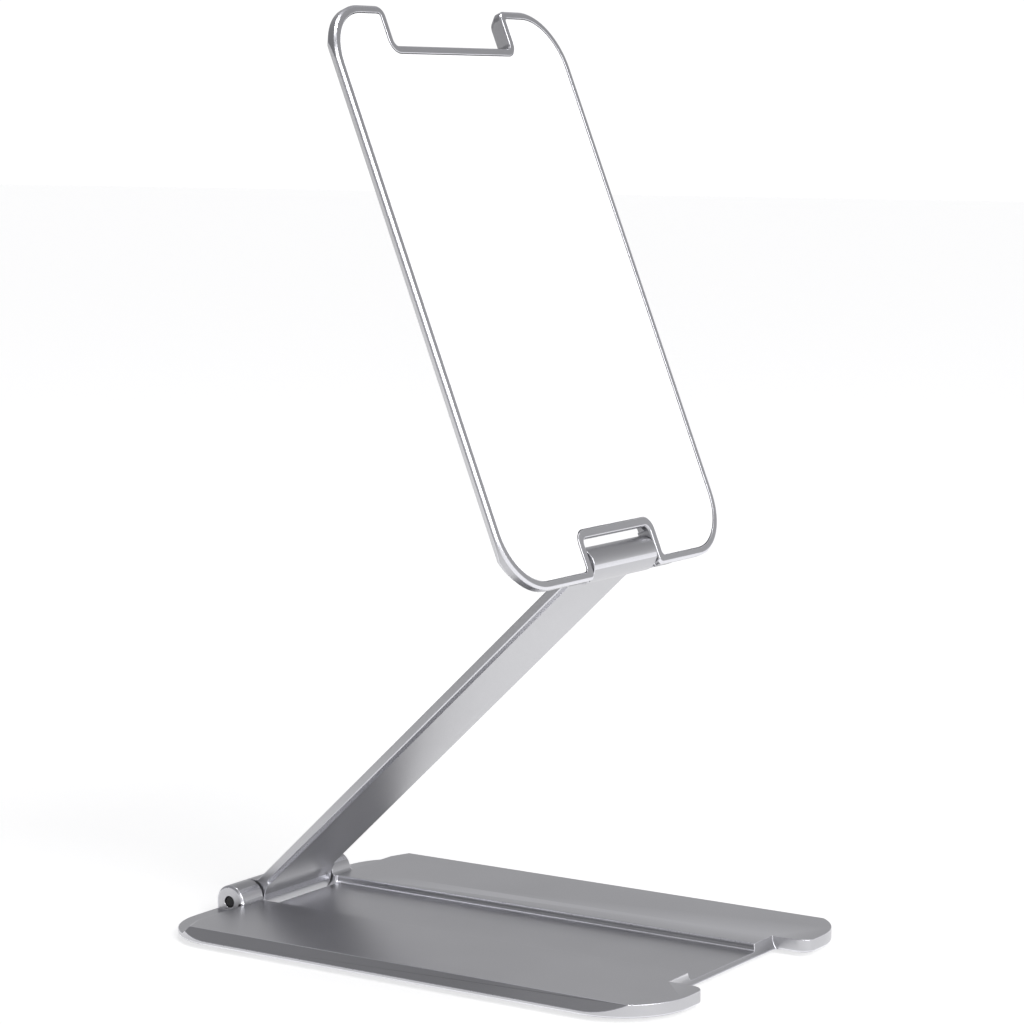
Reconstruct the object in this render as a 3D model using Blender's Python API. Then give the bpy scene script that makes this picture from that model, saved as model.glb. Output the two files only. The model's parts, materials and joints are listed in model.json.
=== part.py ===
"""Folding tablet stand: aluminium base plate, swinging arm and tilting head plate on two friction hinges.

Metres, +Z up. The stand faces -Y, X runs along both hinges, and the origin is on the
table under the middle of the base.
"""
import bpy
import bmesh
from math import cos, degrees, radians, sin, tan
from mathutils import Vector

MM = 0.001

# ---- driving dimensions, in millimetres ----
BASE_WIDTH = 100.0
BASE_FRONT = -140.3          # front tips, measured from the base hinge
BASE_REAR = 4.2              # rear edge, measured from the base hinge
BASE_THICK = 3.26
BASE_LIFT = 1.0              # underside above the table, carried by the feet
CORNER_R = 18.0
SIDE_CHAMFER = (3.4, 2.2)    # across and down, along both long edges
UNDER_EDGE = 0.4             # round the base's underside
RECESS_HALF = 15.6           # bed that takes the folded arm
RECESS_DEPTH = 1.9
FRONT_NOTCH_HALF = 24.6
FRONT_NOTCH_BEHIND = 4.1     # its floor, behind the folded head hinge
FRONT_NOTCH_R = 1.2
FRONT_TIP_R = 3.5
REAR_STEP = -4.2             # the top face slopes down to a low ledge from here
REAR_BEND = 41.0             # outside this the slope starts further forward
REAR_SLANT = 0.36            # by so much for each step outwards
BED_FILLET = 1.0
BED_EDGE = 0.3
BED_REAR = -5.3              # the bed stops here, at the gap between the knuckles
ARM_GAP_FRONT = -5.4
FOOT_HALF = (13.0, 4.5)
FOOT_ROUND = 0.9             # of the foot's half width
FOOT_SUNK = 0.5
FOOT_X = 33.0
FOOT_FRONT = -121.0
FOOT_REAR = -18.0

ARM_LENGTH = 135.63          # hinge to hinge
ARM_HALF = 14.2
ARM_UNDER = -1.3             # underside and top of the bar, from the line through the hinges
ARM_TOP = 1.65
ARM_EDGE = 0.8
ARM_EDGE_STOP = 6.5          # the bevel ends this far from each hinge
ARM_ANGLE = 43.06            # above the table, at rest

HEAD_HALF = 49.06
HEAD_BOTTOM = -4.06          # from the head hinge, along the head
HEAD_TOP = 139.79
HEAD_FRONT = 3.79            # front face above the head hinge
HEAD_CORNER = 15.0
HEAD_LEAN = 21.99            # back from upright, at rest
HEAD_CHAMFER = 2.85          # along the back of both long sides
HEAD_BACK_EDGE = 1.5         # all round the back
HEAD_FRONT_EDGE = 0.5
RIM = 1.9
TRAY_DEPTH = 1.0
TOP_NOTCH_HALF = 24.5
TOP_NOTCH_FLOOR = 129.74
LOW_NOTCH_HALF = 14.8
LOW_NOTCH_TOP = 5.79
HEAD_TIP_R = 2.6
HEAD_TIP_LEAST = 0.9
HEAD_INNER_R = 1.4
LOW_TIP_R = 1.2
NOTCH_FRONT_EDGE = 0.3
CHANNEL_HALF = 15.2          # room behind the head for the folded arm
CHANNEL_START = 5.0
CHANNEL_ROOM = 0.35
FRAME_BAND = 2.2
FILM_IN = 0.6                # in from the tray wall
FILM_LEVELS = (0.1, 0.25)    # above the tray floor
PAD_IN = 0.15
PAD_LEVELS = (0.35, 0.85)

BARREL_R = 4.2
KNUCKLE_IN = 14.8
KNUCKLE_OUT = 23.2
KNUCKLE_EDGE = 0.5
KNUCKLE_FOOT = 1.0           # fillet where the knuckle meets the plate
KNUCKLE_SUNK = 0.03
HINGE_RISE = 0.23            # hinge line above the base's top face
BOSS_R = 4.0
SWEEP_R = 5.4                # room that the folded head hinge turns in

PIN_R = 1.2
PIN_HALF = 21.2
PIN_HOLE_HALF = 30.0         # in the head
HOLE_R = 1.5
BORE_R = 2.4
SLEEVE_R = 2.1
SLEEVE_START = 1.0
WASHER_R = 3.4
PLUG_ENDS = (21.5, 22.9)
PLUG_GAP = 0.15
GAP = 0.3
WASHER_GAP = 0.15

BASE_TOP_Z = BASE_LIFT + BASE_THICK
HINGE_Z = BASE_TOP_Z + HINGE_RISE
HINGE_Y = -(BASE_FRONT + BASE_REAR) / 2
FAR = 300.0                  # past everything, for cutters
OVER = 1.0                   # a cutter starts this far outside the face it cuts


def clear_scene():
    for obj in list(bpy.data.objects):
        bpy.data.objects.remove(obj, do_unlink=True)


def make_material(name, colour, roughness, metallic):
    mat = bpy.data.materials.new(name)
    mat.use_nodes = True
    shader = mat.node_tree.nodes["Principled BSDF"]
    shader.inputs["Base Color"].default_value = (*colour, 1.0)
    shader.inputs["Roughness"].default_value = roughness
    shader.inputs["Metallic"].default_value = metallic
    return mat


ALUMINIUM = ((0.42, 0.42, 0.44), 0.38, 1.0)
STEEL = ((0.55, 0.55, 0.56), 0.3, 1.0)
BRONZE = ((0.45, 0.33, 0.18), 0.4, 1.0)
BLACK = ((0.012, 0.012, 0.014), 0.5, 0.0)
SILICONE = ((0.10, 0.10, 0.11), 0.8, 0.0)
GEL = ((0.93, 0.93, 0.94), 0.45, 0.0)
FILM = ((0.75, 0.74, 0.70), 0.6, 0.0)


def arc(cx, cy, radius, start, end, steps):
    """Points on an arc, angles in degrees, both ends included."""
    span = end - start
    angles = [radians(start + span * k / steps) for k in range(steps + 1)]
    return [(cx + radius * cos(a), cy + radius * sin(a)) for a in angles]


def rounded(points, radii, steps):
    """A polygon with each corner rounded by its radius, in so many steps; runs the way the points run."""
    out = []
    count = len(points)
    for k, (radius, parts) in enumerate(zip(radii, steps)):
        here = Vector(points[k])
        back = (Vector(points[k - 1]) - here).normalized()
        ahead = (Vector(points[(k + 1) % count]) - here).normalized()
        half = back.angle(ahead) / 2
        reach = radius / tan(half)
        centre = here + (back + ahead).normalized() * (radius / sin(half))
        first = here + back * reach - centre
        last = here + ahead * reach - centre
        turn = first.angle_signed(last)
        for part in range(parts + 1):
            a = -turn * part / parts
            out.append((centre.x + first.x * cos(a) - first.y * sin(a),
                        centre.y + first.x * sin(a) + first.y * cos(a)))
    return out


PLACES = {"X": lambda p, level: (level * MM, p[0] * MM, p[1] * MM),
          "Y": lambda p, level: (p[0] * MM, level * MM, p[1] * MM),
          "Z": lambda p, level: (p[0] * MM, p[1] * MM, level * MM)}


def loft(rings, along):
    """Closed solid through a stack of outlines with equal counts; each ring is (outline, level)."""
    bm = bmesh.new()
    place = PLACES[along]
    made = [[bm.verts.new(place(p, level)) for p in outline] for outline, level in rings]
    bm.faces.new(made[0][::-1])
    bm.faces.new(made[-1])
    count = len(made[0])
    for this, after in zip(made, made[1:]):
        for k in range(count):
            n = (k + 1) % count
            bm.faces.new((this[k], this[n], after[n], after[k]))
    bmesh.ops.recalc_face_normals(bm, faces=bm.faces)
    mesh = bpy.data.meshes.new("solid")
    bm.to_mesh(mesh)
    bm.free()
    return mesh


def prism(outline, low, high, along):
    """One outline pushed from low to high along an axis."""
    return loft([(outline, low), (outline, high)], along)


def tube(outer, inner, low, high, steps=24):
    """Ring along X with a clear bore."""
    bm = bmesh.new()
    rings = []
    for radius, level in ((outer, low), (outer, high), (inner, high), (inner, low)):
        ring = arc(0, 0, radius, 0, 360 - 360 / steps, steps - 1)
        rings.append([bm.verts.new((level * MM, y * MM, z * MM)) for y, z in ring])
    for r in range(4):
        this, after = rings[r], rings[(r + 1) % 4]
        for k in range(steps):
            n = (k + 1) % steps
            bm.faces.new((this[k], this[n], after[n], after[k]))
    bmesh.ops.recalc_face_normals(bm, faces=bm.faces)
    mesh = bpy.data.meshes.new("ring")
    bm.to_mesh(mesh)
    bm.free()
    return mesh


def rod(radius, low, high, y=0.0, z=0.0, steps=24):
    """Round bar along X, turned half a step so that no corner lies level with its middle."""
    start = 180 / steps
    return prism(arc(y, z, radius, start, 360 - start, steps - 1), low, high, "X")


def box(x0, x1, y0, y1, z0, z1):
    return prism([(x0, y0), (x1, y0), (x1, y1), (x0, y1)], z0, z1, "Z")


def add_object(name, mesh, parent=None):
    obj = bpy.data.objects.new(name, mesh)
    bpy.context.scene.collection.objects.link(obj)
    obj.parent = parent
    return obj


def add_node(name, mesh, finish, parent):
    obj = add_object(name, mesh, parent)
    obj.data.materials.append(make_material(name, *finish))
    mesh.shade_smooth()
    mesh.set_sharp_from_angle(angle=radians(30))
    return obj


def combine(target, name, mesh, operation="DIFFERENCE"):
    """Cut a hidden tool out of the target, or with UNION weld it on."""
    tool = add_object("tool_" + name, mesh, target.parent)
    tool.hide_render = True
    tool.display_type = "WIRE"
    step = target.modifiers.new(name, "BOOLEAN")
    step.operation = operation
    step.object = tool
    step.solver = "EXACT"


def hinge_empty(name, y, z, turn):
    empty = bpy.data.objects.new(name, None)
    empty.location = (0.0, y * MM, z * MM)
    empty.rotation_euler = (radians(turn), 0.0, 0.0)
    bpy.context.scene.collection.objects.link(empty)
    return empty


# ---- base: drawn in hinge coordinates, y and z measured from the base hinge line ----
TOP = -HINGE_RISE
BOTTOM = TOP - BASE_THICK
LEDGE = TOP - RECESS_DEPTH
NOTCH_FLOOR = -ARM_LENGTH + FRONT_NOTCH_BEHIND


def base_outline(inset=0.0):
    half, notch, lip = BASE_WIDTH / 2 - inset, FRONT_NOTCH_HALF + inset, NOTCH_FLOOR + inset
    front, rear, corner, tip = BASE_FRONT + inset, BASE_REAR - inset, CORNER_R - inset, FRONT_TIP_R - inset
    corners = [(half, rear), (-half, rear), (-half, front), (-notch, front),
               (-notch, lip), (notch, lip), (notch, front), (half, front)]
    radii = [corner, corner, corner, tip, FRONT_NOTCH_R, FRONT_NOTCH_R, tip, corner]
    return rounded(corners, radii, [18, 18, 18, 7, 4, 4, 7, 18])


def knuckle_outline(edge=0.0):
    """Round over the hinge line, straight down at the rear, a small fillet at the foot in front."""
    foot, sink, radius = KNUCKLE_FOOT, KNUCKLE_SUNK, BARREL_R - edge
    over = arc(0, 0, radius, 0, 180, 24)
    fillet = arc(-radius - foot, TOP + foot - sink, foot, 0, -90, 4)
    sole = BOTTOM + 2 * UNDER_EDGE
    return [(radius, sole)] + over + fillet + [(-radius - foot, sole)]


def ledge_outline(shift, sign):
    """Behind this line the plate is low, beside a knuckle; the shift moves it to the rear."""
    start, bend = REAR_STEP + shift, REAR_STEP - REAR_SLANT * (FAR - REAR_BEND) + shift
    inner = KNUCKLE_OUT - 2 * KNUCKLE_EDGE
    points = [(inner, start), (REAR_BEND, start), (FAR, bend), (FAR, FAR), (inner, FAR)]
    return [(sign * x, y) for x, y in points]


def bed_outline():
    """Across the arm's bed: a fine bevel at the top, a fillet along the bottom."""
    half, edge, fillet = RECESS_HALF, BED_EDGE, BED_FILLET
    right = arc(half - fillet, LEDGE + fillet, fillet, -90, 0, 5)
    right += [(half, TOP - edge), (half + edge + OVER, TOP + OVER)]
    return [(-x, z) for x, z in right[::-1]] + right


def foot_outline(x, y, inset=0.0):
    a, b = FOOT_HALF[0] - inset, FOOT_HALF[1] - inset
    corners = [(x - a, y - b), (x + a, y - b), (x + a, y + b), (x - a, y + b)]
    return rounded(corners, [b * FOOT_ROUND] * 4, [6] * 4)


FEET = {"front_left": (-FOOT_X, FOOT_FRONT), "front_right": (FOOT_X, FOOT_FRONT),
        "rear_left": (-FOOT_X, FOOT_REAR), "rear_right": (FOOT_X, FOOT_REAR)}


def build_base(hinge):
    rings = [(base_outline(UNDER_EDGE), BOTTOM), (base_outline(), BOTTOM + UNDER_EDGE), (base_outline(), TOP)]
    base = add_node("base_plate", loft(rings, "Z"), ALUMINIUM, hinge)
    half = BASE_WIDTH / 2
    across, down = SIDE_CHAMFER
    slope = OVER * down / across
    for side, sign in (("right", 1), ("left", -1)):
        rise = 2 * OVER
        low, high = ledge_outline(RECESS_DEPTH, sign), ledge_outline(-rise, sign)
        ledge = loft([(low, LEDGE), (high, TOP + rise)], "Z")
        combine(base, "ledge_" + side, ledge)
        plain, narrow = knuckle_outline(), knuckle_outline(KNUCKLE_EDGE)
        rings = [(plain, sign * KNUCKLE_IN), (plain, sign * (KNUCKLE_OUT - KNUCKLE_EDGE)),
                 (narrow, sign * KNUCKLE_OUT)]
        combine(base, "knuckle_" + side, loft(rings, "X"), "UNION")
        # the wedge that takes off a long edge, drawn across the plate and pushed along it
        wedge = [(sign * (half - across - OVER), TOP + slope), (sign * (half + OVER), TOP + slope),
                 (sign * (half + OVER), TOP - down - slope)]
        combine(base, "chamfer_" + side, prism(wedge, -FAR, FAR, "Y"))
    combine(base, "arm_bed", prism(bed_outline(), -FAR, BED_REAR, "Y"))
    combine(base, "arm_gap", box(-KNUCKLE_IN, KNUCKLE_IN, ARM_GAP_FRONT, FAR, -FAR, FAR))
    combine(base, "hinge_room", rod(SWEEP_R, -FRONT_NOTCH_HALF, FRONT_NOTCH_HALF, -ARM_LENGTH, 0.0, 48))
    combine(base, "pin_hole", rod(HOLE_R, -FAR, FAR))
    for name, (x, y) in FEET.items():
        pocket = prism(foot_outline(x, y), BOTTOM - OVER, BOTTOM + FOOT_SUNK, "Z")
        combine(base, "pocket_" + name, pocket)
        pad = prism(foot_outline(x, y, GAP), BOTTOM - BASE_LIFT, BOTTOM + FOOT_SUNK - GAP, "Z")
        add_node("foot_" + name, pad, SILICONE, hinge)


# ---- arm: drawn lying flat towards -Y, then raised about the base hinge ----
def barrel_blend(under_radius=6.0, top_radius=2.0):
    """Half the arm's side view at the base barrel, from the top of the bar round to its underside."""
    reach = BARREL_R + top_radius
    rise = ARM_TOP + top_radius
    run = (reach ** 2 - rise ** 2) ** 0.5
    top_turn = degrees_of(rise, -run)
    low_reach = BARREL_R + under_radius
    drop = ARM_UNDER - under_radius
    low_run = (low_reach ** 2 - drop ** 2) ** 0.5
    low_turn = degrees_of(drop, -low_run)
    points = arc(-run, rise, top_radius, -90, top_turn - 180, 4)
    points += arc(0, 0, BARREL_R, top_turn, low_turn, 36)
    points += arc(-low_run, drop, under_radius, low_turn + 180, 90, 6)
    return points


def degrees_of(rise, run):
    return -degrees(Vector((1.0, 0.0)).angle_signed(Vector((run, rise))))


def build_arm(hinge):
    near = barrel_blend()
    far = [(-ARM_LENGTH - y, z) for y, z in near][::-1]
    arm = add_node("support_arm", prism(near + far, -ARM_HALF, ARM_HALF, "X"), ALUMINIUM, hinge)
    for sign in (1, -1):
        side = "right" if sign > 0 else "left"
        inner, outer = sign * (ARM_HALF - ARM_EDGE - OVER), sign * (ARM_HALF + OVER)
        wedge = [(inner, ARM_UNDER - OVER), (outer, ARM_UNDER - OVER), (outer, ARM_UNDER + ARM_EDGE + OVER)]
        combine(arm, "edge_" + side, prism(wedge, -ARM_LENGTH + ARM_EDGE_STOP, -ARM_EDGE_STOP, "Y"))
    combine(arm, "base_bore", rod(BORE_R, -FAR, FAR))
    combine(arm, "head_bore", rod(BORE_R, -FAR, FAR, -ARM_LENGTH))


# ---- head: drawn in its own frame, Y up the head and Z out of its front ----
TRAY = HEAD_FRONT - TRAY_DEPTH


def head_outline(outer=0.0, notch=0.0, band=0.0):
    """Outer edge, moved in by outer, with both notches, grown by notch and the low one also by band."""
    side, top, bottom = HEAD_HALF - outer, HEAD_TOP - outer, HEAD_BOTTOM + outer
    wide, floor = TOP_NOTCH_HALF + notch, TOP_NOTCH_FLOOR - notch
    low, roof = LOW_NOTCH_HALF + notch + band, LOW_NOTCH_TOP + notch + band
    points = [(side, bottom), (side, top), (wide, top), (wide, floor), (-wide, floor), (-wide, top),
              (-side, top), (-side, bottom), (-low, bottom), (-low, roof), (low, roof), (low, bottom)]
    corner, inner = HEAD_CORNER - outer, HEAD_INNER_R + notch
    tip = max(HEAD_TIP_R - notch, HEAD_TIP_LEAST)
    radii = [corner, corner, tip, inner, inner, tip, corner, corner, LOW_TIP_R, inner, inner, LOW_TIP_R]
    return rounded(points, radii, [18, 18, 7, 5, 5, 7, 18, 18, 4, 5, 5, 4])


def tray_outline(inset):
    return head_outline(inset, inset, FRAME_BAND - RIM)


def build_head(hinge):
    front_edge, back_edge = HEAD_FRONT_EDGE, HEAD_BACK_EDGE
    rings = [(head_outline(back_edge), 0.0), (head_outline(), back_edge),
             (head_outline(), HEAD_FRONT - front_edge),
             (head_outline(front_edge, NOTCH_FRONT_EDGE), HEAD_FRONT)]
    head = add_node("head_plate", loft(rings, "Z"), ALUMINIUM, hinge)
    for sign in (1, -1):
        side = "right" if sign > 0 else "left"
        low, high = sorted((sign * LOW_NOTCH_HALF, sign * KNUCKLE_OUT))
        boss = arc(0, 0, BOSS_R, 180, 360, 24) + [(BOSS_R, TRAY - OVER), (-BOSS_R, TRAY - OVER)]
        combine(head, "boss_" + side, prism(boss, low, high, "X"), "UNION")
        inner, outer = sign * (HEAD_HALF - HEAD_CHAMFER - OVER), sign * (HEAD_HALF + OVER)
        wedge = [(inner, -OVER), (outer, -OVER), (outer, HEAD_CHAMFER + OVER)]
        combine(head, "chamfer_" + side, prism(wedge, -FAR, FAR, "Y"))
    combine(head, "tray", prism(tray_outline(RIM), TRAY, FAR, "Z"))
    channel = box(-CHANNEL_HALF, CHANNEL_HALF, CHANNEL_START, FAR, -FAR, ARM_TOP + CHANNEL_ROOM)
    combine(head, "arm_channel", channel)
    combine(head, "pin_hole", rod(HOLE_R, -PIN_HOLE_HALF, PIN_HOLE_HALF))
    low, high = FILM_LEVELS
    film = prism(tray_outline(RIM + FILM_IN), TRAY + low, TRAY + high, "Z")
    add_node("pad_adhesive", film, FILM, hinge)
    low, high = PAD_LEVELS
    pad = prism(tray_outline(RIM + PAD_IN), TRAY + low, TRAY + high, "Z")
    add_node("gel_pad", pad, GEL, hinge)


def build_hinge_set(label, pin_parent, arm_parent, arm_y):
    """Pin, two friction sleeves, two washers and two end plugs."""
    add_node(label + "_hinge_pin", rod(PIN_R, -PIN_HALF, PIN_HALF), STEEL, pin_parent)
    for side, sign in (("left", -1), ("right", 1)):
        low, high = sorted((sign * SLEEVE_START, sign * (ARM_HALF - GAP)))
        ring = tube(SLEEVE_R, HOLE_R, low, high)
        sleeve = add_node("%s_sleeve_%s" % (label, side), ring, BRONZE, arm_parent)
        sleeve.location.y = arm_y * MM
        low, high = sorted((sign * (ARM_HALF + WASHER_GAP), sign * (KNUCKLE_IN - WASHER_GAP)))
        add_node("%s_washer_%s" % (label, side), tube(WASHER_R, HOLE_R, low, high), STEEL, pin_parent)
        low, high = sorted(sign * end for end in PLUG_ENDS)
        add_node("%s_plug_%s" % (label, side), rod(HOLE_R - PLUG_GAP, low, high), BLACK, pin_parent)


clear_scene()
base_hinge = hinge_empty("base_hinge_line", HINGE_Y, HINGE_Z, 0.0)
arm_hinge = hinge_empty("arm_line", HINGE_Y, HINGE_Z, -ARM_ANGLE)
head_y = HINGE_Y - ARM_LENGTH * cos(radians(ARM_ANGLE))
head_z = HINGE_Z + ARM_LENGTH * sin(radians(ARM_ANGLE))
head_hinge = hinge_empty("head_hinge_line", head_y, head_z, 90.0 - HEAD_LEAN)

build_base(base_hinge)
build_arm(arm_hinge)
build_head(head_hinge)
build_hinge_set("base", base_hinge, arm_hinge, 0.0)
build_hinge_set("head", head_hinge, arm_hinge, -ARM_LENGTH)
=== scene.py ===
"""Looks for the folding tablet stand: satin grey anodised aluminium with a white gel pad, in a studio.

Metres, +Z up, the stand faces -Y. Every piece is its frame node made again with softly
rounded edges, riding on the node's own body, with a procedural material.
"""
import json
from math import radians

import bmesh
import bpy
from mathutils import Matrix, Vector

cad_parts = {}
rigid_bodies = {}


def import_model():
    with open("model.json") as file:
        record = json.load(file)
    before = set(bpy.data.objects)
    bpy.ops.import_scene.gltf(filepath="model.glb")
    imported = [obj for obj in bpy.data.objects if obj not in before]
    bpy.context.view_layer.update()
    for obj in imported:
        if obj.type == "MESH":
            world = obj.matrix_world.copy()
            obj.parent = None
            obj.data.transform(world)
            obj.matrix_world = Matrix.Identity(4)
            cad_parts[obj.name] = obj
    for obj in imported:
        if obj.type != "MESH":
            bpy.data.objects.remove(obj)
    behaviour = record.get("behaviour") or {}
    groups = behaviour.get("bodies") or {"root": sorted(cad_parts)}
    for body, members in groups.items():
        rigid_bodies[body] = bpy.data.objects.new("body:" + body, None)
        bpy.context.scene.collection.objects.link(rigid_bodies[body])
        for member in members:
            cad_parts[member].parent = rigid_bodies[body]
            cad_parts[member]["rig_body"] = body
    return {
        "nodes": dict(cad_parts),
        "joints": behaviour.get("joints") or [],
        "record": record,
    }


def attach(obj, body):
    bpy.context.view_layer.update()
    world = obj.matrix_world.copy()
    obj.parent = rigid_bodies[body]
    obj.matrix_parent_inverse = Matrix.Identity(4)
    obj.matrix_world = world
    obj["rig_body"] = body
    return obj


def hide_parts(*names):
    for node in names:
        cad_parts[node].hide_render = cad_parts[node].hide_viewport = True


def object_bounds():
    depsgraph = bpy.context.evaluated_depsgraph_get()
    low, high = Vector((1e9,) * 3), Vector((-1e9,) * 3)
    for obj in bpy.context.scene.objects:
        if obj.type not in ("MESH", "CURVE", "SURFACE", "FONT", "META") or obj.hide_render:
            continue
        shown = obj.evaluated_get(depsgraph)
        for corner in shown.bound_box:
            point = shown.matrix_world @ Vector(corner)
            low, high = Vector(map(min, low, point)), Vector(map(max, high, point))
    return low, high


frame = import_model()
cad_low, cad_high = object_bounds()
NODES = frame["nodes"]
HINGES = {joint["name"]: Vector(joint["pos_m"]) for joint in frame["joints"]}
FACINGS = {mount["name"]: Vector(mount["axis"]) for mount in frame["record"]["mounts"]}

MM = 0.001
MERGE = 0.000002             # corners closer than this are one corner
FLAT_TURN = radians(0.5)     # faces that meet at less than this are one flat
SHARP_TURN = radians(32)     # edges that turn more than this are sharp, and get rounded
ROUND_STEPS = 3
PAD_ROUND = 0.22             # rounded rim of the gel pad, in millimetres
# faces turned this far from the facing get the painted bevel highlight
HIGHLIGHT_COSINES = (0.6, 0.8)     # about 53 down to 37 degrees

ACROSS = Vector((1.0, 0.0, 0.0))
UP = Vector((0.0, 0.0, 1.0))
ARM_ALONG = (HINGES["head_hinge"] - HINGES["base_hinge"]).normalized()
# the facing that each part's painted bevel highlight is measured from
HIGHLIGHT_FROM = {"base_plate": UP, "support_arm": ACROSS.cross(ARM_ALONG), "head_plate": FACINGS["device_rest"]}

CAMERA_AT = (-0.64021, -0.42724, 0.20353)
CAMERA_TURN = (82.81, 0.0, -56.44)
CAMERA_LENS = 111.9
CAMERA_SENSOR = 36.0

LEFT_REAR = (-0.83, 0.55, 0.0)         # the studio is darker that way
FLOOR_HALF = 6.0
FLOOR_DROP = 0.00005
FLOOR_WHITE = (0.59, 0.59, 0.59)
# painted shade on the floor: grey, and glowing less, towards the left rear where the studio light falls
# off
FLOOR_SHADE_GREY = (0.22, 0.22, 0.22)
FLOOR_SHADE_FADE = (0.10, 0.45)              # metres towards the left rear
BAND_WHITE = (1.05, 1.05, 1.05)        # along the horizon
BAND_FADE = (0.05, 0.09)               # heights on the sky, from 0 at the horizon to 1 overhead
SKY_LOW = (0.61, 0.61, 0.62)
SKY_HIGH = (0.27, 0.27, 0.28)
SKY_FADE = (0.15, 0.80)
SKY_LEFT_REAR = (0.26, 0.26, 0.27)
LEFT_FADE = (0.1, 0.9)
KEY_TOWARDS = (-0.25, -0.8, 0.55)
KEY_ANGLE = 40.0
KEY_STRENGTH = 1.8
SOFTBOX_AT = (0.05, -0.1, 1.4)
SOFTBOX_SIZE = (0.25, 0.15)
SOFTBOX_WATTS = 4.0

GEL_TONES = ((0.955, 0.955, 0.96), (0.98, 0.98, 0.985))
MIX_FIRST, MIX_SECOND, MIX_RESULT = 6, 7, 2      # a Mix node's colour sockets


# ---- materials ----
def new_material(name):
    mat = bpy.data.materials.new(name)
    mat.use_nodes = True
    tree = mat.node_tree
    shader = tree.nodes["Principled BSDF"]
    return mat, tree, shader


def node(tree, kind, **settings):
    made = tree.nodes.new(kind)
    for key, value in settings.items():
        setattr(made, key, value)
    return made


def noise(tree, scale, detail, roughness=0.5):
    """Noise in object space, in cycles per metre."""
    place = node(tree, "ShaderNodeTexCoord")
    made = node(tree, "ShaderNodeTexNoise")
    made.inputs["Scale"].default_value = scale
    made.inputs["Detail"].default_value = detail
    made.inputs["Roughness"].default_value = roughness
    tree.links.new(place.outputs["Object"], made.inputs["Vector"])
    return made.outputs["Fac"]


def remap(tree, value, low, high, from_low=0.0, from_high=1.0):
    """The value taken from one range to another, and held at its ends."""
    made = node(tree, "ShaderNodeMapRange")
    made.inputs["From Min"].default_value = from_low
    made.inputs["From Max"].default_value = from_high
    made.inputs["To Min"].default_value = low
    made.inputs["To Max"].default_value = high
    tree.links.new(value, made.inputs["Value"])
    return made.outputs["Result"]


def blend_colours(tree, factor, first, second):
    """From the first to the second colour as the factor goes from 0 to 1."""
    made = node(tree, "ShaderNodeMix", data_type="RGBA")
    tree.links.new(factor, made.inputs["Factor"])
    for socket, value in ((made.inputs[MIX_FIRST], first), (made.inputs[MIX_SECOND], second)):
        if isinstance(value, tuple):
            socket.default_value = (*value, 1.0)
        else:
            tree.links.new(value, socket)
    return made.outputs[MIX_RESULT]


def bump(tree, shader, height, strength, distance):
    made = node(tree, "ShaderNodeBump")
    made.inputs["Strength"].default_value = strength
    made.inputs["Distance"].default_value = distance
    tree.links.new(height, made.inputs["Height"])
    tree.links.new(made.outputs["Normal"], shader.inputs["Normal"])


def edge_mask(tree, low, high):
    """1 on sharp outer edges, 0 on flats."""
    geometry = node(tree, "ShaderNodeNewGeometry")
    return remap(tree, geometry.outputs["Pointiness"], 0.0, 1.0, low, high)


def anodised(name, colour, roughness):
    """Bead-blasted, anodised aluminium: fine even grain, faint clouding, and sharp edges painted brighter
    as a painted highlight.
    """
    mat, tree, shader = new_material(name)
    darker = tuple(c * 0.94 for c in colour)
    brighter = tuple(min(c * 1.25, 1.0) for c in colour)
    cloud = remap(tree, noise(tree, 28.0, 3.0), 0.0, 1.0, 0.3, 0.7)
    tint = blend_colours(tree, cloud, darker, colour)
    # sharp edges painted brighter: a painted highlight where the edges catch the light
    edge_highlight = blend_colours(tree, edge_mask(tree, 0.53, 0.62), tint, brighter)
    tree.links.new(edge_highlight, shader.inputs["Base Color"])
    grain = noise(tree, 5200.0, 2.0, 0.6)
    tree.links.new(remap(tree, grain, roughness - 0.05, roughness + 0.05, 0.35, 0.65),
                   shader.inputs["Roughness"])
    shader.inputs["Metallic"].default_value = 1.0
    bump(tree, shader, grain, 0.10, 0.00003)
    return mat


def plain(name, colour, roughness, metallic, grain_scale, grain_depth):
    """Rubber, film or turned metal: one tone with its own fine surface."""
    mat, tree, shader = new_material(name)
    shade = tuple(c * 0.9 for c in colour)
    grain = noise(tree, grain_scale, 3.0)
    tree.links.new(blend_colours(tree, grain, shade, colour), shader.inputs["Base Color"])
    tree.links.new(remap(tree, grain, roughness - 0.06, roughness + 0.06), shader.inputs["Roughness"])
    shader.inputs["Metallic"].default_value = metallic
    bump(tree, shader, grain, 0.2, grain_depth)
    return mat


def gel_material():
    """Smooth white silicone with a soft waxy depth and very faint unevenness."""
    mat, tree, shader = new_material("gel_white")
    cloud = noise(tree, 40.0, 2.0)
    tree.links.new(blend_colours(tree, cloud, *GEL_TONES), shader.inputs["Base Color"])
    tree.links.new(remap(tree, noise(tree, 900.0, 2.0), 0.30, 0.40), shader.inputs["Roughness"])
    shader.inputs["Coat Weight"].default_value = 0.15
    shader.inputs["Coat Roughness"].default_value = 0.25
    bump(tree, shader, noise(tree, 160.0, 2.0), 0.05, 0.0001)
    return mat


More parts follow.
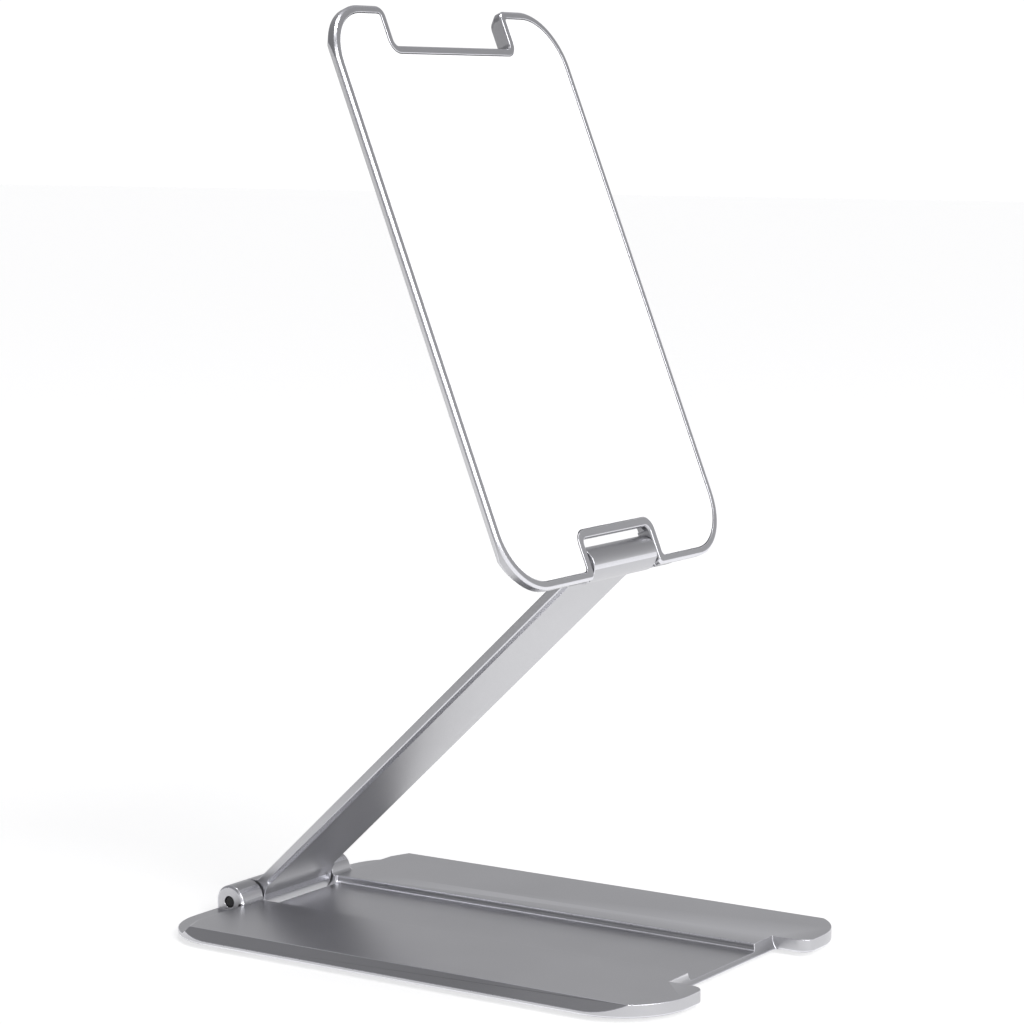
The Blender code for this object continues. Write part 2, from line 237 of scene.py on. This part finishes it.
# ---- pieces ----
def finer(name, mat, width, highlight=None, highlight_from=None):
    """A frame node made again with its flats joined and its sharp edges softly rounded.

    Where a painted highlight is given, a lighter copy of the metal, the rounded edges take it,
    and so do the faces whose normal is about 45 degrees from highlight_from: the bevels, and a narrow
    strip along each barrel.
    """
    source = NODES[name]
    piece = bpy.data.objects.new(name + "_skin", source.data.copy())
    bpy.context.scene.collection.objects.link(piece)
    bm = bmesh.new()
    bm.from_mesh(piece.data)
    bmesh.ops.remove_doubles(bm, verts=bm.verts, dist=MERGE)
    bmesh.ops.dissolve_limit(bm, angle_limit=FLAT_TURN, verts=bm.verts, edges=bm.edges)
    bm.to_mesh(piece.data)
    bm.free()
    piece.data.shade_smooth()
    piece.data.set_sharp_from_angle(angle=SHARP_TURN)
    piece.data.materials.clear()
    piece.data.materials.append(mat)
    # painted highlight: a lighter copy of the metal on faces turned about 45 degrees, the bevels
    if highlight:
        piece.data.materials.append(highlight)
        least, most = HIGHLIGHT_COSINES
        for face in piece.data.polygons:
            face.material_index = int(least < face.normal.dot(highlight_from) < most)
    if width:
        step = piece.modifiers.new("edges", "BEVEL")
        step.width = width * MM
        step.segments = ROUND_STEPS
        step.limit_method = "ANGLE"
        step.angle_limit = SHARP_TURN
        step.harden_normals = True
        step.miter_outer = "MITER_ARC"
        step.use_clamp_overlap = False
        step.material = 1 if highlight else -1
    even = piece.modifiers.new("even_flats", "WEIGHTED_NORMAL")
    even.keep_sharp = True
    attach(piece, source["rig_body"])
    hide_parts(name)
    return piece


# ---- studio ----
def add_camera():
    data = bpy.data.cameras.new("camera")
    data.lens = CAMERA_LENS
    data.sensor_width = CAMERA_SENSOR
    camera = bpy.data.objects.new("camera", data)
    camera.location = CAMERA_AT
    camera.rotation_euler = [radians(a) for a in CAMERA_TURN]
    bpy.context.scene.collection.objects.link(camera)
    bpy.context.scene.camera = camera


def add_sun(name, towards, angle, strength):
    data = bpy.data.lights.new(name, "SUN")
    data.angle = radians(angle)
    data.energy = strength
    lamp = bpy.data.objects.new(name, data)
    lamp.rotation_euler = Vector(towards).to_track_quat("Z", "Y").to_euler()
    bpy.context.scene.collection.objects.link(lamp)


def add_softbox(name, at, aim, size, watts):
    data = bpy.data.lights.new(name, "AREA")
    data.shape = "RECTANGLE"
    data.size, data.size_y = size
    data.energy = watts
    lamp = bpy.data.objects.new(name, data)
    lamp.location = at
    lamp.rotation_euler = (Vector(aim) - Vector(at)).to_track_quat("-Z", "Y").to_euler()
    bpy.context.scene.collection.objects.link(lamp)


def add_floor():
    """A floor that glows white under the stand and fades to grey towards the left rear, a painted shade
    for the studio light falling off there.
    """
    mesh = bpy.data.meshes.new("floor")
    half = FLOOR_HALF
    corners = [(-half, -half, 0), (half, -half, 0), (half, half, 0), (-half, half, 0)]
    mesh.from_pydata(corners, [], [(0, 1, 2, 3)])
    floor = bpy.data.objects.new("floor", mesh)
    floor.location.z = cad_low.z - FLOOR_DROP
    bpy.context.scene.collection.objects.link(floor)
    mat, tree, shader = new_material("floor_white")
    place = node(tree, "ShaderNodeTexCoord")
    side = node(tree, "ShaderNodeVectorMath", operation="DOT_PRODUCT")
    side.inputs[1].default_value = LEFT_REAR
    tree.links.new(place.outputs["Object"], side.inputs[0])
    # painted shade: the floor's colour and glow fall to grey towards the left rear
    painted_falloff = remap(tree, side.outputs["Value"], 0.0, 1.0, *FLOOR_SHADE_FADE)
    shade = blend_colours(tree, painted_falloff, FLOOR_WHITE, FLOOR_SHADE_GREY)
    tree.links.new(shade, shader.inputs["Base Color"])
    tree.links.new(shade, shader.inputs["Emission Color"])
    shader.inputs["Emission Strength"].default_value = 1.0
    shader.inputs["Roughness"].default_value = 0.9
    shader.inputs["Specular IOR Level"].default_value = 0.1
    floor.data.materials.append(mat)


def add_world():
    """A white band along the horizon, soft grey above it, darker overhead and towards the left rear."""
    world = bpy.data.worlds.new("studio")
    world.use_nodes = True
    tree = world.node_tree
    place = node(tree, "ShaderNodeTexCoord")
    split = node(tree, "ShaderNodeSeparateXYZ")
    tree.links.new(place.outputs["Generated"], split.inputs["Vector"])
    height = remap(tree, split.outputs["Z"], 0.0, 1.0, *SKY_FADE)
    shade = blend_colours(tree, height, SKY_LOW, SKY_HIGH)
    turn = node(tree, "ShaderNodeVectorMath", operation="DOT_PRODUCT")
    turn.inputs[1].default_value = LEFT_REAR
    tree.links.new(place.outputs["Generated"], turn.inputs[0])
    left = remap(tree, turn.outputs["Value"], 0.0, 1.0, *LEFT_FADE)
    shade = blend_colours(tree, left, shade, SKY_LEFT_REAR)
    band = remap(tree, split.outputs["Z"], 0.0, 1.0, *BAND_FADE)
    shade = blend_colours(tree, band, BAND_WHITE, shade)
    sky = tree.nodes["Background"]
    tree.links.new(shade, sky.inputs["Color"])
    sky.inputs["Strength"].default_value = 1.0
    bpy.context.scene.world = world
    bpy.context.scene.view_settings.view_transform = "Standard"


METAL = anodised("anodised_aluminium", (0.55, 0.55, 0.57), 0.33)
# a lighter copy of the anodised metal, a painted highlight on the bevels
PAINTED_BEVEL_HIGHLIGHT = anodised("painted_bevel_highlight", (0.78, 0.78, 0.82), 0.30)
STEEL = plain("ground_steel", (0.55, 0.55, 0.56), 0.28, 1.0, 3000.0, 0.00002)
BRONZE = plain("sleeve_bronze", (0.45, 0.33, 0.18), 0.36, 1.0, 3000.0, 0.00002)
BLACK = plain("plug_black", (0.012, 0.012, 0.014), 0.5, 0.0, 2500.0, 0.00003)
RUBBER = plain("foot_rubber", (0.06, 0.06, 0.065), 0.75, 0.0, 1800.0, 0.00006)
FILM = plain("adhesive_film", (0.75, 0.74, 0.70), 0.6, 0.0, 1200.0, 0.00002)

# by a word of the node's name: the finish, and how wide its edges are rounded, in millimetres
FINISHES = {"plate": (METAL, 0.14), "arm": (METAL, 0.2), "foot": (RUBBER, 0.3), "pin": (STEEL, 0.2),
            "washer": (STEEL, 0.1), "sleeve": (BRONZE, 0.0), "plug": (BLACK, 0.2), "adhesive": (FILM, 0.0)}

for node_name in list(NODES):
    for word, (finish, width) in FINISHES.items():
        if word in node_name.split("_"):
            highlight_from = HIGHLIGHT_FROM.get(node_name)
            finer(node_name, finish, width, PAINTED_BEVEL_HIGHLIGHT if highlight_from else None, highlight_from)

pad = finer("gel_pad", gel_material(), PAD_ROUND)
add_camera()
add_floor()
add_world()
middle = (cad_low + cad_high) / 2
add_sun("key", KEY_TOWARDS, KEY_ANGLE, KEY_STRENGTH)
add_softbox("overhead", SOFTBOX_AT, middle, SOFTBOX_SIZE, SOFTBOX_WATTS)
